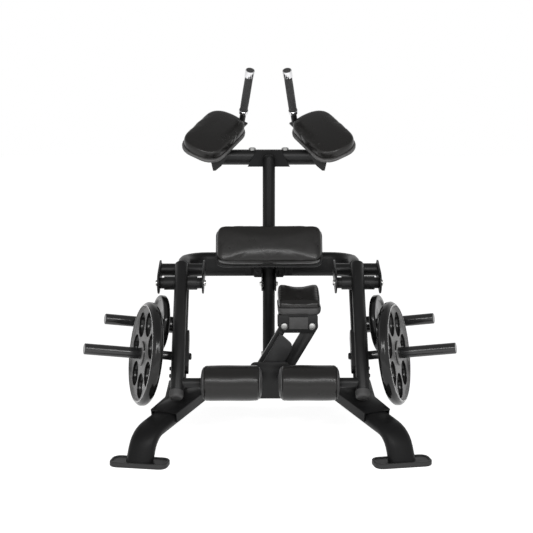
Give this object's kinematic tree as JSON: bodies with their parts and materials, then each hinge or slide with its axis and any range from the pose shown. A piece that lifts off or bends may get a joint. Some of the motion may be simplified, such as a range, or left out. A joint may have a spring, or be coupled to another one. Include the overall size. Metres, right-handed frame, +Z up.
{
  "type": "kneeling hamstring machine",
  "caption": "Plate-loaded kneeling hamstring curl machine: steel frame, curl arms with leg rollers, thigh and elbow pads, handles and a knee pad that moves across.",
  "frame": {"origin": "middle of the footprint, on the floor", "axes": "+Z up; +Y the way the user faces, from the rollers to the post; +X to the user's right"},
  "size_m": [1.6562, 1.2195, 1.658],
  "materials": {
    "black_frame": "satin black powder coat",
    "black_vinyl": "soft black vinyl with a low sheen",
    "grey_plastic": "dark grey, matte",
    "foot_rubber": "dark grey, matte",
    "bright_chrome": "polished",
    "grip_rubber": "fine texture, matte",
    "cast_grey": "grey hammered paint",
    "dark_steel": "dark",
    "black_board": "black, matte"
  },
  "bodies": {
    "frame": {"arm_axle_left": "dark_steel", "arm_axle_right": "dark_steel", "cross_beam": "black_frame", "elbow_board_left": "grey_plastic", "elbow_board_right": "grey_plastic", "elbow_cross_tube": "black_frame", "elbow_pad_left": "black_vinyl", "elbow_pad_right": "black_vinyl", "foot_pad_left": "foot_rubber", "foot_pad_right": "foot_rubber", "front_leg_left": "black_frame", "front_leg_right": "black_frame", "handle_grip_left": "grip_rubber", "handle_grip_right": "grip_rubber", "handle_left": "bright_chrome", "handle_right": "bright_chrome", "knee_mount": "black_frame", "knee_mount_rear": "black_frame", "knee_pin_low_left": "dark_steel", "knee_pin_low_right": "dark_steel", "post": "black_frame", "post_clevis": "black_frame", "rear_foot": "black_frame", "rear_rubber_pad_left": "foot_rubber", "rear_rubber_pad_right": "foot_rubber", "side_upright_left": "black_frame", "side_upright_right": "black_frame", "storage_horn_left": "black_frame", "storage_horn_right": "black_frame", "storage_plate_left": "cast_grey", "storage_plate_right": "cast_grey", "thigh_board": "black_board", "thigh_pad": "black_vinyl", "thigh_pad_strap_left": "black_frame", "thigh_pad_strap_right": "black_frame", "u_frame": "black_frame"},
    "left_arm": {"curl_arm_left": "black_frame", "arm_bumper_left": "grey_plastic", "weight_horn_left": "black_frame", "weight_plate_left": "cast_grey"},
    "right_arm": {"curl_arm_right": "black_frame", "arm_bumper_right": "grey_plastic", "weight_horn_right": "black_frame", "weight_plate_right": "cast_grey"},
    "left_roller": {"roller_left": "black_vinyl", "roller_core_left": "black_frame"},
    "right_roller": {"roller_right": "black_vinyl", "roller_core_right": "black_frame"},
    "left_knee_link": {"knee_link_left": "black_frame"},
    "right_knee_link": {"knee_link_right": "black_frame"},
    "knee_slider": {"knee_carriage": "black_frame", "knee_tube_plug": "grey_plastic", "knee_pin_top_left": "bright_chrome", "knee_pin_top_right": "bright_chrome", "knee_pad_base": "grey_plastic", "knee_pad": "black_vinyl"}
  },
  "joints": [
    {"name": "left_curl", "type": "hinge", "parent": "frame", "child": "left_arm", "pos_m": [-0.41, 0.0798, 0.67], "axis": [-1, 0, 0], "range_deg": [0, 105]},
    {"name": "left_roller_spin", "type": "hinge", "parent": "left_arm", "child": "left_roller", "pos_m": [-0.17, -0.28967, 0.28881], "axis": [1, 0, 0], "continuous": true},
    {"name": "right_curl", "type": "hinge", "parent": "frame", "child": "right_arm", "pos_m": [0.41, 0.0798, 0.67], "axis": [-1, 0, 0], "range_deg": [0, 105]},
    {"name": "right_roller_spin", "type": "hinge", "parent": "right_arm", "child": "right_roller", "pos_m": [0.17, -0.28967, 0.28881], "axis": [1, 0, 0], "continuous": true},
    {"name": "knee_sway", "type": "hinge", "parent": "frame", "child": "left_knee_link", "pos_m": [-0.0635, -0.0562, 0.275], "axis": [0, -1, 0], "range_deg": [0, 60.71]},
    {"name": "knee_sway_right_link", "type": "hinge", "parent": "frame", "child": "right_knee_link", "pos_m": [0.0635, -0.0562, 0.275], "axis": [0, -1, 0], "range_deg": [0, 60.71]},
    {"name": "knee_level", "type": "hinge", "parent": "left_knee_link", "child": "knee_slider", "pos_m": [0.0665, -0.0562, 0.497], "axis": [0, -1, 0], "range_deg": [-60.71, 0]}
  ],
  "couplings": [
    {"joint": "knee_sway_right_link", "follows": "knee_sway", "ratio": 1},
    {"joint": "knee_level", "follows": "knee_sway", "ratio": -1}
  ]
}
